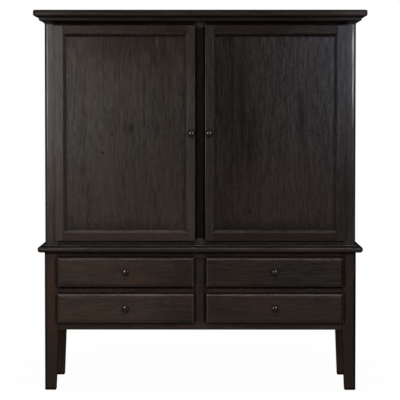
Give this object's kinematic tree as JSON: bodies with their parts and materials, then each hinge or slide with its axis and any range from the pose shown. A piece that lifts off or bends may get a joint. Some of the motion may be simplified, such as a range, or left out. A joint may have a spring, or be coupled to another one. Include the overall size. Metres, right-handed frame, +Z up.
{
  "type": "computer armoire",
  "caption": "Dark stained oak computer armoire: hinged panelled doors over a work surface and shelf, sliding drawers below, tapered legs and a moulded cornice.",
  "frame": {"origin": "on the floor under the middle of the overall box, cornice included", "axes": "+Z up, the doors and drawers face -Y, +X is to the right of someone facing the doors"},
  "size_m": [1.662, 0.696, 1.9035],
  "materials": {
    "dark_oak": "dark espresso stain, satin lacquer, open grain",
    "back_wood": "thin stained back board, matt",
    "drawer_wood": "clear lacquered pale wood",
    "knob_metal": "dark bronzed, polished",
    "steel": "plain zinc plated",
    "catch_plastic": "moulded brown"
  },
  "bodies": {
    "case": {"back_boards": "back_wood", "base_back": "back_wood", "base_bottom_rail": "dark_oak", "base_centre_stile": "dark_oak", "base_left_side": "dark_oak", "base_middle_rails": "dark_oak", "base_right_side": "dark_oak", "base_top_rail": "dark_oak", "case_roof": "dark_oak", "centre_stile": "dark_oak", "cornice_cap": "dark_oak", "cornice_moulding": "dark_oak", "door_catches": "catch_plastic", "drawer_partition": "drawer_wood", "drawer_runners": "drawer_wood", "frieze_rail": "dark_oak", "front_left_leg": "dark_oak", "front_right_leg": "dark_oak", "hinge_plates": "steel", "left_front_post": "dark_oak", "left_side_panel": "dark_oak", "lower_rail": "dark_oak", "plinth_board": "dark_oak", "rear_left_leg": "dark_oak", "rear_posts": "dark_oak", "rear_right_leg": "dark_oak", "right_front_post": "dark_oak", "right_side_panel": "dark_oak", "shelf": "dark_oak", "shelf_pins": "steel", "waist_board": "dark_oak", "work_surface": "dark_oak"},
    "left_door": {"left_door_fittings": "steel", "left_door_knob": "knob_metal", "left_door_moulding": "dark_oak", "left_door_panel": "dark_oak", "left_door_rails": "dark_oak", "left_door_stiles": "dark_oak"},
    "right_door": {"right_door_fittings": "steel", "right_door_knob": "knob_metal", "right_door_moulding": "dark_oak", "right_door_panel": "dark_oak", "right_door_rails": "dark_oak", "right_door_stiles": "dark_oak"},
    "lower_left_drawer": {"lower_left_drawer_bottom": "drawer_wood", "lower_left_drawer_front": "dark_oak", "lower_left_drawer_knob": "knob_metal", "lower_left_drawer_walls": "drawer_wood"},
    "lower_right_drawer": {"lower_right_drawer_bottom": "drawer_wood", "lower_right_drawer_front": "dark_oak", "lower_right_drawer_knob": "knob_metal", "lower_right_drawer_walls": "drawer_wood"},
    "upper_left_drawer": {"upper_left_drawer_bottom": "drawer_wood", "upper_left_drawer_front": "dark_oak", "upper_left_drawer_knob": "knob_metal", "upper_left_drawer_walls": "drawer_wood"},
    "upper_right_drawer": {"upper_right_drawer_bottom": "drawer_wood", "upper_right_drawer_front": "dark_oak", "upper_right_drawer_knob": "knob_metal", "upper_right_drawer_walls": "drawer_wood"}
  },
  "joints": [
    {"name": "left_door_hinge", "type": "hinge", "parent": "case", "child": "left_door", "pos_m": [-0.718, -0.306, 1.2895], "axis": [0, 0, -1], "range_deg": [0, 170]},
    {"name": "right_door_hinge", "type": "hinge", "parent": "case", "child": "right_door", "pos_m": [0.718, -0.306, 1.2895], "axis": [0, 0, 1], "range_deg": [0, 170]},
    {"name": "lower_left_drawer_slide", "type": "slide", "parent": "case", "child": "lower_left_drawer", "axis": [0, -1, 0], "range_m": [0, 0.38]},
    {"name": "lower_right_drawer_slide", "type": "slide", "parent": "case", "child": "lower_right_drawer", "axis": [0, -1, 0], "range_m": [0, 0.38]},
    {"name": "upper_left_drawer_slide", "type": "slide", "parent": "case", "child": "upper_left_drawer", "axis": [0, -1, 0], "range_m": [0, 0.38]},
    {"name": "upper_right_drawer_slide", "type": "slide", "parent": "case", "child": "upper_right_drawer", "axis": [0, -1, 0], "range_m": [0, 0.38]}
  ]
}
